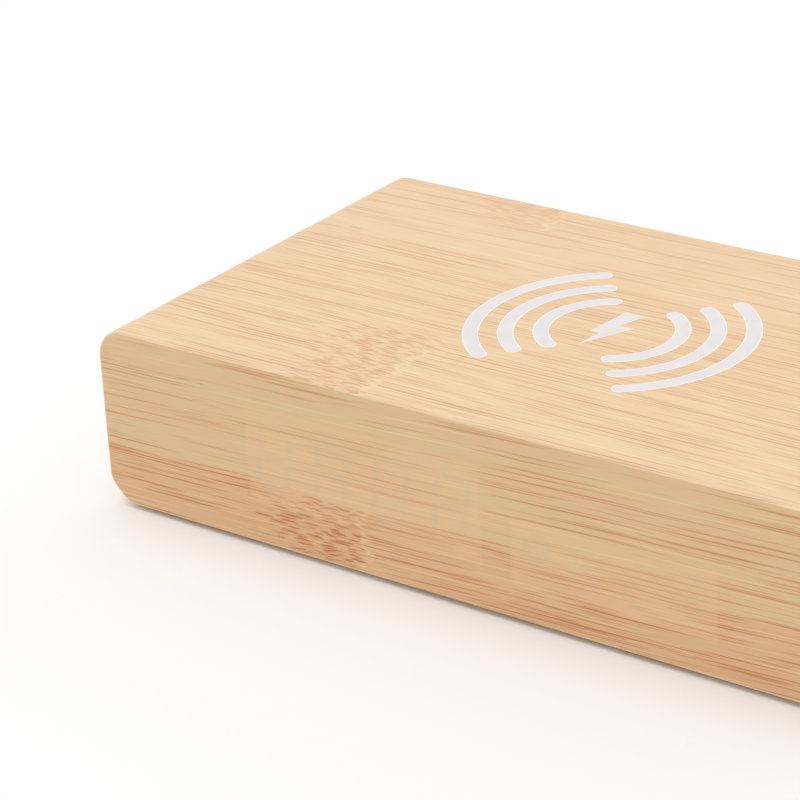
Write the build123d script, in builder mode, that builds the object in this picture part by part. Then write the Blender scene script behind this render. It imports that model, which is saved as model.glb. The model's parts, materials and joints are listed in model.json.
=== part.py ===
"""A wood-effect block that is a bedside LED clock and a wireless phone charger.

Millimetres. The origin is on the ground under the middle of the case: +X runs along the
case, -Y is the display side, +Y is the control side and +Z is up.
"""
from build123d import *
from math import cos, radians, sqrt, tan
import os

os.makedirs("parts", exist_ok=True)

# ------------------------------------------------------------------ driving dimensions
case_length = 165.0
case_depth = 90.0
case_height = 35.0
corner_radius = 6.0  # the two upper edges that run from front to back
foot_chamfer = 4.0  # the two lower ones are cut off flat
foot_blend = 4.0  # and the cut is rounded where it starts and ends
edge_radius = 0.4  # round the front and back faces
foot_height = 1.0
foil = 0.3  # wood-effect skin over the fibreboard
ink = 0.1  # the printed mark, flush with the skin

end_width = 10.0  # fibreboard blocks at the two ends
floor_thickness = 6.0
roof_thickness = 6.4
front_thickness = 3.0
back_thickness = 4.0

coil_pocket_radius = 27.0
coil_pocket_roof = 2.3  # fibreboard left above the coil

time_size = (50.3, 19.0)  # standard 0.56 inch clock module
time_centre = (-23.6, 18.8)
info_size = (40.2, 12.8)  # standard 0.39 inch module
info_centre = (27.9, 14.0)
display_depth = 8.0

panel_size = (100.0, 29.0)
panel_thickness = 1.8
panel_recess = 0.8  # how far the panel lies below the back face
door_centre_x = 26.0
door_size = (23.6, 20.6)
door_thickness = 1.6
button_x = {"set": -18.0, "up": -6.0, "down": 6.0}
button_travel = 0.4
usb_x = -33.0
cell_radius = 10.0
cell_thickness = 3.2

board_thickness = 1.6
main_board_size = (88.0, 20.4)
display_board_size = (110.0, 21.4)
charger_board_size = (46.0, 30.0)
charger_board_thickness = 1.2
charger_lift = 3.0

# ------------------------------------------------------------------ places worked out
case_bottom = foot_height
case_top = foot_height + case_height
case_middle = foot_height + case_height / 2
core_length = case_length - 2 * foil
core_height = case_height - 2 * foil
core_front = -case_depth / 2 + foil
core_back = case_depth / 2 - foil
frame_front = core_front + front_thickness
frame_back = core_back - back_thickness
frame_middle_y = (frame_front + frame_back) / 2
inner_length = core_length - 2 * end_width
inner_floor = case_bottom + foil + floor_thickness
inner_roof = case_top - foil - roof_thickness
inner_middle = (inner_floor + inner_roof) / 2

panel_face = case_depth / 2 - panel_recess
panel_inside = panel_face - panel_thickness
main_board_face = panel_inside - 5.4
main_board_inside = main_board_face - board_thickness
display_board_face = core_front + display_depth
display_board_inside = display_board_face + board_thickness
charger_board_bottom = inner_floor + charger_lift
charger_board_top = charger_board_bottom + charger_board_thickness


def upright(y):
    """A plane across the case at this depth, seen from the display side: X along, Y up."""
    return Plane(origin=(0, y, 0), x_dir=(1, 0, 0), z_dir=(0, -1, 0))


def level(z):
    """A level plane at this height."""
    return Plane.XY.offset(z)


def save(piece, name):
    """Label a finished piece and write it to its own file."""
    piece.part.label = name
    export_step(piece.part, f"parts/{name}.step")


# ------------------------------------------------------------------ outlines of the case
# seen from the front: the whole case, the core inside the skin, and the flat front face
outlines = {}
for name, inset in (("case", 0.0), ("core", foil), ("face", edge_radius)):
    with BuildSketch() as outline:
        Rectangle(case_length - 2 * inset, case_height - 2 * inset)
        fillet(outline.vertices().group_by(Axis.Y)[-1], radius=corner_radius - inset)
        chamfer(outline.vertices().group_by(Axis.Y)[0], length=foot_chamfer - inset * (2 - sqrt(2)))
        fillet(outline.vertices().sort_by(Axis.Y)[:4], radius=foot_blend - inset)
    outlines[name] = outline.sketch

# ------------------------------------------------------------------ wood-effect skins
ring_radii = (25.3, 19.0, 12.7)
ring_half_angles = (54.9, 56.5, 60.0)
ring_stroke = 3.0
bolt_outline = [
    (-1.95, 7.8),
    (2.25, 7.8),
    (0.05, 1.85),
    (3.2, 2.35),
    (-1.85, -8.4),
    (-1.15, -2.15),
    (-3.15, -2.3),
]
# three arcs on each side of a lightning bolt
with BuildSketch(level(case_top)) as mark_outline:
    for side in (0.0, 180.0):
        for radius, half_angle in zip(ring_radii, ring_half_angles):
            with BuildLine():
                CenterArc((0, 0), radius, side - half_angle, 2 * half_angle)
                offset(amount=ring_stroke / 2, side=Side.BOTH)
            make_face()
    with BuildLine():
        Polyline(*bolt_outline, close=True)
    make_face()

# the body that the skin is wrapped round, which the fibreboard pieces make up between them
with BuildPart() as core:
    with BuildSketch(upright(core_back)):
        with Locations((0, case_middle)):
            add(outlines["core"])
    extrude(amount=core_back - core_front)
    fillet(core.faces().filter_by(Axis.Y).edges(), radius=edge_radius - foil)

with BuildPart() as wrap_foil:
    with BuildSketch(upright(case_depth / 2)):
        with Locations((0, case_middle)):
            add(outlines["case"])
    extrude(amount=case_depth)
    fillet(wrap_foil.faces().filter_by(Axis.Y).edges(), radius=edge_radius)
    add(core.part, mode=Mode.SUBTRACT)
    for y in (case_depth / 2, core_front):
        with BuildSketch(upright(y)):
            with Locations((0, case_middle)):
                add(outlines["face"])
        extrude(amount=foil, mode=Mode.SUBTRACT)
    extrude(mark_outline.sketch, amount=-ink, mode=Mode.SUBTRACT)
save(wrap_foil, "wrap_foil")

with BuildPart() as charging_mark:
    extrude(mark_outline.sketch, amount=-ink)
save(charging_mark, "charging_mark")

with BuildPart() as front_foil:
    with BuildSketch(upright(core_front)):
        with Locations((0, case_middle)):
            add(outlines["face"])
    extrude(amount=foil)
save(front_foil, "front_foil")

panel_gap = 0.2
panel_radius = 3.0
with BuildPart() as back_foil:
    with BuildSketch(upright(case_depth / 2)):
        with Locations((0, case_middle)):
            add(outlines["face"])
    extrude(amount=foil)
    with BuildSketch(upright(case_depth / 2)):
        with Locations((0, inner_middle)):
            RectangleRounded(
                panel_size[0] + 2 * panel_gap,
                panel_size[1] + 2 * panel_gap,
                panel_radius + panel_gap,
            )
    extrude(amount=foil, mode=Mode.SUBTRACT)
save(back_foil, "back_foil")

# ------------------------------------------------------------------ fibreboard case
tray_screw_circle = 29.8
tray_screw_angles = (60.0, 180.0, 300.0)
tray_thickness = 1.2
tray_bottom = inner_roof - tray_thickness
tray_screw_reach = 6.0
pilot_gap = 0.1
wood_screw_radius = 0.95
lead_channel_width = 8.0
lead_channel_end = 37.0
coil_pocket_top = case_top - foil - coil_pocket_roof

panel_screw_places = [(x, inner_middle + z) for x in (-46.0, 46.0) for z in (-12.2, 12.2)]
panel_screw_length = 8.0

charger_hole_places = [(x, y) for x in (-19.5, 19.5) for y in (-11.5, 11.5)]
charger_screw_reach = 3.6

display_hole_places = [(x, z) for x in (-52.0, 52.0) for z in (10.8, 25.8)]
display_screw_reach = 2.2

for side, name in ((-1, "left_end_block"), (1, "right_end_block")):
    with BuildPart() as end_block:
        with BuildSketch(upright(frame_back)):
            with Locations((0, case_middle)):
                add(outlines["core"])
            with Locations((side * (core_length - end_width) / 2, case_middle)):
                Rectangle(end_width, core_height, mode=Mode.INTERSECT)
        extrude(amount=frame_back - frame_front)
    save(end_block, name)

with BuildPart() as top_board:
    with BuildSketch(level(inner_roof)):
        with Locations((0, frame_middle_y)):
            Rectangle(inner_length, frame_back - frame_front)
    extrude(amount=roof_thickness)
    # the round pocket for the coil, with a channel for its leads
    with BuildSketch(level(inner_roof)):
        Circle(coil_pocket_radius)
        with Locations((lead_channel_end / 2, 0)):
            Rectangle(lead_channel_end, lead_channel_width)
    extrude(amount=coil_pocket_top - inner_roof, mode=Mode.SUBTRACT)
    with BuildSketch(level(inner_roof)):
        for angle in tray_screw_angles:
            with PolarLocations(tray_screw_circle, 1, start_angle=angle):
                Circle(wood_screw_radius + pilot_gap)
    extrude(amount=tray_screw_reach - tray_thickness + 0.3, mode=Mode.SUBTRACT)
    with BuildSketch(upright(frame_back)):
        with Locations(*[place for place in panel_screw_places if place[1] > inner_middle]):
            Circle(wood_screw_radius + pilot_gap)
    extrude(amount=panel_screw_length, mode=Mode.SUBTRACT)
save(top_board, "top_board")

with BuildPart() as bottom_board:
    with BuildSketch(level(case_bottom + foil)):
        with Locations((0, frame_middle_y)):
            Rectangle(inner_length, frame_back - frame_front)
    extrude(amount=floor_thickness)
    with BuildSketch(level(inner_floor)):
        with Locations(*charger_hole_places):
            Circle(wood_screw_radius + pilot_gap)
    extrude(amount=-charger_screw_reach - 0.3, mode=Mode.SUBTRACT)
    with BuildSketch(upright(frame_back)):
        with Locations(*[place for place in panel_screw_places if place[1] < inner_middle]):
            Circle(wood_screw_radius + pilot_gap)
    extrude(amount=panel_screw_length, mode=Mode.SUBTRACT)
save(bottom_board, "bottom_board")

window_gap = 0.2
with BuildPart() as front_board:
    with BuildSketch(upright(frame_front)):
        with Locations((0, case_middle)):
            add(outlines["core"])
    extrude(amount=front_thickness)
    fillet(front_board.faces().sort_by(Axis.Y)[0].edges(), radius=edge_radius - foil)
    with BuildSketch(upright(frame_front)):
        for size, centre in ((time_size, time_centre), (info_size, info_centre)):
            with Locations(centre):
                Rectangle(size[0] + 2 * window_gap, size[1] + 2 * window_gap)
    extrude(amount=front_thickness, mode=Mode.SUBTRACT)
    with BuildSketch(upright(frame_front)):
        with Locations(*display_hole_places):
            Circle(wood_screw_radius + pilot_gap)
    extrude(amount=display_screw_reach + 0.2, mode=Mode.SUBTRACT)
save(front_board, "front_board")

service_opening = (88.0, inner_roof - inner_floor - 0.4)
with BuildPart() as back_board:
    with BuildSketch(upright(core_back)):
        with Locations((0, case_middle)):
            add(outlines["core"])
    extrude(amount=back_thickness)
    fillet(back_board.faces().sort_by(Axis.Y)[-1].edges(), radius=edge_radius - foil)
    # the seat that the control panel lies in, and the opening behind it
    with BuildSketch(upright(core_back)):
        with Locations((0, inner_middle)):
            RectangleRounded(
                panel_size[0] + 2 * panel_gap,
                panel_size[1] + 2 * panel_gap,
                panel_radius + panel_gap,
            )
    extrude(amount=core_back - panel_inside, mode=Mode.SUBTRACT)
    with BuildSketch(upright(core_back)):
        with Locations((0, inner_middle)):
            RectangleRounded(service_opening[0], service_opening[1], 2.0)
        with Locations(*panel_screw_places):
            Circle(wood_screw_radius + pilot_gap)
    extrude(amount=back_thickness, mode=Mode.SUBTRACT)
save(back_board, "back_board")

foot_radius = 5.0
with BuildPart() as rubber_feet:
    with BuildSketch(level(0)):
        with GridLocations(132.0, 66.0, 2, 2):
            Circle(foot_radius)
    extrude(amount=foot_height)
    chamfer(rubber_feet.faces().group_by(Axis.Z)[0].edges(), length=0.2)
save(rubber_feet, "rubber_feet")

# ------------------------------------------------------------------ control panel, at the back
sensor_place = (-25.5, inner_middle)
post_radius = 2.2
post_places = [(x, inner_middle + z) for x in (-41.0, 41.0) for z in (-7.6, 7.6)]
post_hole_radius = 1.0
button_radius = 2.5
button_hole_radius = 2.7
usb_size = (8.94, 3.26)
usb_wall = 0.3
hinge_radius = door_thickness / 2
hinge_pin_radius = 0.4
hinge_pin_length = 1.0
door_gap = 0.2
door_bottom = inner_middle - door_size[1] / 2
hinge_z = door_bottom + hinge_radius
hinge_y = panel_face - hinge_radius
screw_head_radius = 1.9
screw_head_depth = 1.1

with BuildPart() as control_panel:
    with BuildSketch(upright(panel_face)):
        with Locations((0, inner_middle)):
            RectangleRounded(panel_size[0], panel_size[1], panel_radius)
    extrude(amount=panel_thickness)
    fillet(control_panel.faces().sort_by(Axis.Y)[-1].edges(), radius=0.3)
    with BuildSketch(upright(panel_face)):
        with Locations((door_centre_x, inner_middle)):
            RectangleRounded(door_size[0] + 2 * door_gap, door_size[1] + 2 * door_gap, 0.5)
        with Locations(*[(x, inner_middle) for x in button_x.values()]):
            Circle(button_hole_radius)
        with Locations((usb_x, inner_middle)):
            RectangleRounded(usb_size[0] + 0.5, usb_size[1] + 0.5, 1.8)
        with Locations(sensor_place):
            Circle(1.0)
    extrude(amount=panel_thickness, mode=Mode.SUBTRACT)
    # a shallow step for a fingernail above the battery door
    with BuildSketch(upright(panel_face)):
        with Locations((door_centre_x, inner_middle + door_size[1] / 2 + door_gap)):
            SlotOverall(9.0, 3.0)
    extrude(amount=1.0, mode=Mode.SUBTRACT)
    # sunk holes for the panel's screws
    with Locations(*[Location((x, panel_face, z), (-90, 0, 0)) for x, z in panel_screw_places]):
        CounterSinkHole(
            radius=wood_screw_radius + 0.2,
            counter_sink_radius=screw_head_radius + 0.15,
            depth=panel_thickness,
            counter_sink_angle=82,
        )
    # posts that carry the main board
    with BuildSketch(upright(panel_inside)):
        with Locations(*post_places):
            Circle(post_radius)
    extrude(amount=panel_inside - main_board_face)
    with BuildSketch(upright(main_board_face)):
        with Locations(*post_places):
            Circle(post_hole_radius)
    extrude(amount=-4.0, mode=Mode.SUBTRACT)
    # sockets for the door's hinge pins
    with BuildSketch(Plane.YZ.offset(door_centre_x - door_size[0] / 2 - hinge_pin_length - 0.4)):
        with Locations((hinge_y, hinge_z)):
            Circle(hinge_pin_radius + 0.15)
    extrude(amount=door_size[0] + 2 * hinge_pin_length + 0.8, mode=Mode.SUBTRACT)
save(control_panel, "control_panel")

with BuildPart() as panel_screws:
    with Locations(*[Location((x, panel_face - 0.1, z), (-90, 0, 0)) for x, z in panel_screw_places]):
        Cone(
            bottom_radius=wood_screw_radius,
            top_radius=screw_head_radius,
            height=screw_head_depth,
            align=(Align.CENTER, Align.CENTER, Align.MAX),
        )
        with Locations((0, 0, -screw_head_depth)):
            Cylinder(
                wood_screw_radius,
                panel_screw_length - 1.6,
                align=(Align.CENTER, Align.CENTER, Align.MAX),
            )
        Box(2.4, 0.5, 0.6, align=(Align.CENTER, Align.CENTER, Align.MAX), mode=Mode.SUBTRACT)
        Box(0.5, 2.4, 0.6, align=(Align.CENTER, Align.CENTER, Align.MAX), mode=Mode.SUBTRACT)
save(panel_screws, "panel_screws")

cap_proud = 0.7  # the caps stand proud of the panel but not of the case
cap_foot = 41.3
plunger_radius = 1.7
plunger_root = cap_foot - 1.9
for name, x in button_x.items():
    with BuildPart() as cap:
        with BuildSketch(upright(panel_face + cap_proud)):
            with Locations((x, inner_middle)):
                Circle(button_radius)
        extrude(amount=panel_face + cap_proud - cap_foot)
        fillet(cap.faces().sort_by(Axis.Y)[-1].edges(), radius=0.4)
        with BuildSketch(upright(panel_face + cap_proud)):
            with Locations((x, inner_middle)):
                if name == "set":
                    Circle(1.1)
                    Circle(0.7, mode=Mode.SUBTRACT)
                else:
                    RegularPolygon(1.3, 3, rotation=90 if name == "up" else -90)
        extrude(amount=0.15, mode=Mode.SUBTRACT)
        with BuildSketch(upright(cap_foot + 0.8)):
            with Locations((x, inner_middle)):
                Circle(button_radius + 1.0)
        extrude(amount=0.8)
    save(cap, f"{name}_button")

    with BuildPart() as plunger:
        with BuildSketch(upright(cap_foot)):
            with Locations((x, inner_middle)):
                Circle(plunger_radius)
        extrude(amount=cap_foot - plunger_root)
    save(plunger, f"{name}_plunger")

with BuildPart() as battery_door:
    with BuildSketch(Plane.YZ.offset(door_centre_x - door_size[0] / 2)):
        with Locations((hinge_y, hinge_z)):
            Circle(hinge_radius)
        with Locations((hinge_y, (hinge_z + door_bottom + door_size[1]) / 2)):
            Rectangle(door_thickness, door_size[1] - hinge_radius)
    extrude(amount=door_size[0])
    outer_face = battery_door.faces().sort_by(Axis.Y)[-1]
    fillet(outer_face.edges().filter_by(Axis.Z), radius=0.25)
    # finger ribs, cut into the outer face
    with BuildSketch(upright(panel_face)):
        with Locations((door_centre_x, inner_middle + 5.4)):
            with GridLocations(0, 1.6, 1, 4):
                SlotOverall(9.0, 0.7)
    extrude(amount=0.35, mode=Mode.SUBTRACT)
    with BuildSketch(Plane.YZ.offset(door_centre_x - door_size[0] / 2 - hinge_pin_length)):
        with Locations((hinge_y, hinge_z)):
            Circle(hinge_pin_radius)
    extrude(amount=door_size[0] + 2 * hinge_pin_length)
save(battery_door, "battery_door")

# ------------------------------------------------------------------ main board and what it carries
with BuildPart() as main_board:
    with BuildSketch(upright(main_board_face)):
        with Locations((0, inner_middle)):
            Rectangle(main_board_size[0], main_board_size[1])
        with Locations(*post_places):
            Circle(post_hole_radius + 0.1, mode=Mode.SUBTRACT)
    extrude(amount=board_thickness)
save(main_board, "main_board")

board_screw_head = 1.4
with BuildPart() as board_screws:
    with BuildSketch(upright(main_board_inside)):
        with Locations(*post_places):
            Circle(1.9)
    extrude(amount=board_screw_head)
    with BuildSketch(upright(main_board_inside)):
        with Locations(*post_places):
            Circle(post_hole_radius - 0.05)
    extrude(amount=-board_thickness - 3.6)
save(board_screws, "board_screws")

switch_height = 3.4
with BuildPart() as tact_switches:
    with BuildSketch(upright(main_board_face + switch_height)):
        with Locations(*[(x, inner_middle) for x in button_x.values()]):
            RectangleRounded(6.0, 6.0, 0.4)
    extrude(amount=switch_height)
    with BuildSketch(upright(main_board_face + switch_height)):
        with Locations(*[(x, inner_middle) for x in button_x.values()]):
            Circle(plunger_radius + 0.2)
    extrude(
        amount=main_board_face + switch_height - plunger_root + button_travel + 0.2,
        mode=Mode.SUBTRACT,
    )
save(tact_switches, "tact_switches")

usb_base_depth = 1.6
with BuildPart() as usb_shell:
    with BuildSketch(upright(panel_face)):
        with Locations((usb_x, inner_middle)):
            RectangleRounded(usb_size[0], usb_size[1], usb_size[1] / 2 - 0.01)
            RectangleRounded(
                usb_size[0] - 2 * usb_wall,
                usb_size[1] - 2 * usb_wall,
                usb_size[1] / 2 - usb_wall - 0.01,
                mode=Mode.SUBTRACT,
            )
    extrude(amount=panel_face - main_board_face)
save(usb_shell, "usb_shell")

with BuildPart() as usb_tongue:
    with BuildSketch(upright(main_board_face + usb_base_depth)):
        with Locations((usb_x, inner_middle)):
            RectangleRounded(
                usb_size[0] - 2 * usb_wall,
                usb_size[1] - 2 * usb_wall,
                usb_size[1] / 2 - usb_wall - 0.01,
            )
    extrude(amount=usb_base_depth)
    with BuildSketch(upright(panel_face - 0.8)):
        with Locations((usb_x, inner_middle)):
            Rectangle(6.69, 0.7)
    extrude(amount=panel_face - 0.8 - main_board_face - usb_base_depth)
save(usb_tongue, "usb_tongue")

cup_radius = cell_radius + 0.8
cup_floor = 0.8
cup_height = 4.4
contact_thickness = 0.3
contact_width = 5.0
cell_back = main_board_face + cup_floor + 2 * contact_thickness
with BuildPart() as battery_holder:
    with BuildSketch(upright(main_board_face + cup_height)):
        with Locations((door_centre_x, inner_middle)):
            Circle(cup_radius)
    extrude(amount=cup_height)
    with BuildSketch(upright(main_board_face + cup_height)):
        with Locations((door_centre_x, inner_middle)):
            Circle(cell_radius + 0.2)
        with Locations((door_centre_x, inner_middle + cell_radius)):
            Rectangle(contact_width + 0.4, 0.8)
    extrude(amount=cup_height - cup_floor, mode=Mode.SUBTRACT)
save(battery_holder, "battery_holder")

with BuildPart() as coin_cell:
    with BuildSketch(upright(cell_back + cell_thickness)):
        with Locations((door_centre_x, inner_middle)):
            Circle(cell_radius)
    extrude(amount=cell_thickness)
    chamfer(coin_cell.faces().sort_by(Axis.Y)[-1].edges(), length=0.2)
    chamfer(coin_cell.faces().sort_by(Axis.Y)[0].edges(), length=0.8)
save(coin_cell, "coin_cell")

with BuildPart() as cell_contacts:
    with BuildSketch(upright(cell_back - contact_thickness)):
        with Locations((door_centre_x, inner_middle)):
            Rectangle(12.0, 3.0)
    extrude(amount=contact_thickness)
    with BuildSketch(upright(cell_back)):
        with Locations((door_centre_x, inner_middle)):
            Circle(1.4)
    extrude(amount=contact_thickness)
    with BuildSketch(upright(main_board_face + cup_height)):
        with Locations((door_centre_x, inner_middle + cell_radius + contact_thickness / 2)):
            Rectangle(contact_width, contact_thickness)
    extrude(amount=cup_height - cup_floor)
save(cell_contacts, "cell_contacts")

connector_depth = 5.0
ribbon_x = -30.0
power_x = 11.0
power_entry_z = 16.0
with BuildPart() as main_connectors:
    with BuildSketch(upright(main_board_inside)):
        with Locations((ribbon_x, 12.0)):
            Rectangle(12.0, 4.4)
        with Locations((power_x, power_entry_z)):
            Rectangle(8.0, 5.0)
    extrude(amount=connector_depth)
save(main_connectors, "main_connectors")

with BuildPart() as main_chips:
    with BuildSketch(upright(main_board_inside)):
        with Locations((26.0, 20.5)):
            Rectangle(9.0, 9.0)
        with Locations((26.0, 12.5)):
            Rectangle(8.0, 3.2)
    extrude(amount=1.4)
    with BuildSketch(upright(main_board_inside)):
        with Locations((36.5, 21.0)):
            Rectangle(5.0, 4.0)
        with Locations((35.0, 15.0)):
            Rectangle(3.2, 2.5)
        with Locations((0.0, 23.0)):
            Rectangle(5.0, 6.2)
    extrude(amount=1.1)
save(main_chips, "main_chips")

with BuildPart() as buzzer:
    with BuildSketch(upright(main_board_inside)):
        with Locations((-12.0, 18.5)):
            Circle(6.0)
    extrude(amount=5.0)
    with BuildSketch(upright(main_board_inside - 5.0)):
        with Locations((-12.0, 18.5)):
            Circle(0.9)
    extrude(amount=-1.5, mode=Mode.SUBTRACT)
save(buzzer, "buzzer")

with BuildPart() as temperature_sensor:
    with BuildSketch(upright(main_board_face + 3.4)):
        with Locations(sensor_place):
            Circle(1.2)
    extrude(amount=2.0)
    fillet(temperature_sensor.faces().sort_by(Axis.Y)[-1].edges(), radius=0.8)
    with BuildSketch(upright(main_board_face + 1.4)):
        with Locations(sensor_place):
            with GridLocations(1.27, 0, 2, 1):
                Circle(0.2)
    extrude(amount=1.4)
save(temperature_sensor, "temperature_sensor")

# ------------------------------------------------------------------ display modules
digit_lean = 8.0


def draw_bar(length, stroke):
    """One bar of a digit, with pointed ends that stop just short of its neighbours."""
    tip = length / 2 - 0.2
    shoulder = tip - stroke / 2
    half = stroke / 2
    Polygon(
        (-tip, 0), (-shoulder, half), (shoulder, half), (tip, 0), (shoulder, -half), (-shoulder, -half),
        align=None,
    )


def draw_digits(centre, pitch, digit_width, digit_height, stroke, dot_radius):
    """Four leaning seven-bar digits, with a colon in the middle, in the sketch being built."""
    half_width = (digit_width - stroke) / 2
    quarter = (digit_height - stroke) / 4
    lean = tan(radians(digit_lean))
    across = [(0, y) for y in (-2 * quarter, 0, 2 * quarter)]
    beside = [(x, y) for x in (-half_width, half_width) for y in (-quarter, quarter)]
    for index in range(4):
        middle = centre[0] + (index - 1.5) * pitch
        with Locations(*[(middle + x + y * lean, centre[1] + y) for x, y in across]):
            draw_bar(2 * half_width, stroke)
        places = [(middle + x + y * lean, centre[1] + y) for x, y in beside]
        with Locations(*[Location(place, 90 - digit_lean) for place in places]):
            draw_bar(2 * quarter / cos(radians(digit_lean)), stroke)
    with Locations(*[(centre[0] + y * lean, centre[1] + y) for y in (-quarter, quarter)]):
        Circle(dot_radius)


display_parts = (
    ("time", time_size, time_centre, (12.7, 7.8, 13.4, 1.5, 0.75)),
    ("info", info_size, info_centre, (10.16, 5.6, 9.2, 1.1, 0.5)),
)
segment_depth = 1.2
for name, size, centre, digits in display_parts:
    with BuildPart() as segments:
        with BuildSketch(upright(core_front + segment_depth)):
            draw_digits(centre, *digits)
        extrude(amount=segment_depth)
    save(segments, f"{name}_segments")

    with BuildPart() as housing:
        with BuildSketch(upright(display_board_face)):
            with Locations(centre):
                Rectangle(size[0], size[1])
        extrude(amount=display_depth)
        with BuildSketch(upright(core_front + segment_depth)):
            draw_digits(centre, *digits)
        extrude(amount=segment_depth, mode=Mode.SUBTRACT)
    save(housing, f"{name}_display")

pin_places = []
for size, centre, row in ((time_size, time_centre, 7.62), (info_size, info_centre, 5.08)):
    for index in range(6):
        for side in (-1, 1):
            pin_places.append((centre[0] + (index - 2.5) * 2.54, centre[1] + side * row))
pin_radius = 0.3
with BuildPart() as display_pins:
    with BuildSketch(upright(display_board_inside + 1.2)):
        with Locations(*pin_places):
            Circle(pin_radius)
    extrude(amount=board_thickness + 1.2)
save(display_pins, "display_pins")

with BuildPart() as display_board:
    with BuildSketch(upright(display_board_inside)):
        with Locations((0, inner_middle)):
            Rectangle(display_board_size[0], display_board_size[1])
        with Locations(*pin_places):
            Circle(pin_radius + 0.15, mode=Mode.SUBTRACT)
        with Locations(*display_hole_places):
            Circle(1.1, mode=Mode.SUBTRACT)
    extrude(amount=board_thickness)
save(display_board, "display_board")

with BuildPart() as display_spacers:
    with BuildSketch(upright(display_board_face)):
        with Locations(*display_hole_places):
            Circle(2.2)
            Circle(1.1, mode=Mode.SUBTRACT)
    extrude(amount=display_board_face - frame_front)
save(display_spacers, "display_spacers")

with BuildPart() as display_screws:
    with BuildSketch(upright(display_board_inside + 1.3)):
        with Locations(*display_hole_places):
            Circle(1.9)
    extrude(amount=1.3)
    with BuildSketch(upright(display_board_inside)):
        with Locations(*display_hole_places):
            Circle(wood_screw_radius)
    extrude(amount=display_board_inside - frame_front + display_screw_reach)
save(display_screws, "display_screws")

ribbon_exit_z = 19.0
with BuildPart() as display_connector:
    with BuildSketch(upright(display_board_inside + connector_depth)):
        with Locations((ribbon_x, ribbon_exit_z)):
            Rectangle(12.0, 4.4)
    extrude(amount=connector_depth)
save(display_connector, "display_connector")

# ------------------------------------------------------------------ wireless charger
with BuildPart() as charger_board:
    with BuildSketch(level(charger_board_bottom)):
        Rectangle(charger_board_size[0], charger_board_size[1])
        with Locations(*charger_hole_places):
            Circle(1.1, mode=Mode.SUBTRACT)
    extrude(amount=charger_board_thickness)
save(charger_board, "charger_board")

with BuildPart() as charger_spacers:
    with BuildSketch(level(inner_floor)):
        with Locations(*charger_hole_places):
            Circle(2.2)
            Circle(1.1, mode=Mode.SUBTRACT)
    extrude(amount=charger_lift)
save(charger_spacers, "charger_spacers")

with BuildPart() as charger_screws:
    with BuildSketch(level(charger_board_top)):
        with Locations(*charger_hole_places):
            Circle(1.9)
    extrude(amount=1.3)
    with BuildSketch(level(charger_board_top)):
        with Locations(*charger_hole_places):
            Circle(wood_screw_radius)
    extrude(amount=inner_floor - charger_screw_reach - charger_board_top)
save(charger_screws, "charger_screws")

charger_connector_height = 3.4
with BuildPart() as charger_connectors:
    with BuildSketch(level(charger_board_top)):
        with Locations((19.5, 0)):
            Rectangle(6.0, 8.0)
        with Locations((power_x, 11.8)):
            Rectangle(8.0, 5.4)
    extrude(amount=charger_connector_height)
save(charger_connectors, "charger_connectors")

with BuildPart() as charger_chips:
    with BuildSketch(level(charger_board_top)):
        with Locations((-3.0, 1.0)):
            Rectangle(6.0, 6.0)
        with Locations(*[(x, y) for x in (6.5, 11.0) for y in (-6.0, -1.6)]):
            Rectangle(3.3, 3.3)
    extrude(amount=0.9)
save(charger_chips, "charger_chips")

with BuildPart() as charger_capacitors:
    with BuildSketch(level(charger_board_top)):
        with Locations((-12.0, 0)):
            with GridLocations(0, 4.0, 1, 4):
                Rectangle(5.7, 3.2)
    extrude(amount=2.2)
save(charger_capacitors, "charger_capacitors")

with BuildPart() as charger_inductor:
    with BuildSketch(level(charger_board_top)):
        with Locations((-2.5, 9.5)):
            RectangleRounded(6.6, 6.6, 1.0)
    extrude(amount=3.0)
    chamfer(charger_inductor.faces().sort_by(Axis.Z)[-1].edges(), length=0.4)
save(charger_inductor, "charger_inductor")

# the coil lies under the middle of the roof, on a ferrite plate in a screwed tray
tray_lift = 31.0
ferrite_thickness = 0.8
ferrite_radius = 25.0
coil_wire_radius = 0.575
coil_pitch = 1.1
coil_turns = 10
coil_inner_radius = 11.0
coil_middle_z = tray_lift + ferrite_thickness + coil_wire_radius
with BuildPart() as coil_tray:
    with BuildSketch(level(tray_bottom)):
        Circle(33.0)
    extrude(amount=tray_thickness)
    with BuildSketch(level(inner_roof)):
        Circle(ferrite_radius + 0.5)
    extrude(amount=tray_lift - inner_roof)
    with BuildSketch(level(tray_bottom)):
        Circle(ferrite_radius - 1.5)
    extrude(amount=tray_lift - tray_bottom - 1.2, mode=Mode.SUBTRACT)
    with BuildSketch(level(tray_bottom)):
        for angle in tray_screw_angles:
            with PolarLocations(tray_screw_circle, 1, start_angle=angle):
                Circle(1.2)
        with Locations((31.5, 0)):
            Rectangle(9.0, lead_channel_width)
    extrude(amount=tray_thickness, mode=Mode.SUBTRACT)
save(coil_tray, "coil_tray")

with BuildPart() as tray_screws:
    with BuildSketch(level(tray_bottom)):
        for angle in tray_screw_angles:
            with PolarLocations(tray_screw_circle, 1, start_angle=angle):
                Circle(2.1)
    extrude(amount=-1.4)
    with BuildSketch(level(tray_bottom)):
        for angle in tray_screw_angles:
            with PolarLocations(tray_screw_circle, 1, start_angle=angle):
                Circle(wood_screw_radius)
    extrude(amount=tray_screw_reach)
save(tray_screws, "tray_screws")

with BuildPart() as ferrite_plate:
    with BuildSketch(level(tray_lift)):
        Circle(ferrite_radius)
    extrude(amount=ferrite_thickness)
save(ferrite_plate, "ferrite_plate")

with BuildPart() as charging_coil:
    with BuildSketch(Plane.XZ):
        for turn in range(coil_turns):
            with Locations((coil_inner_radius + turn * coil_pitch, coil_middle_z)):
                Circle(coil_wire_radius)
    revolve(axis=Axis.Z)
save(charging_coil, "charging_coil")

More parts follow.
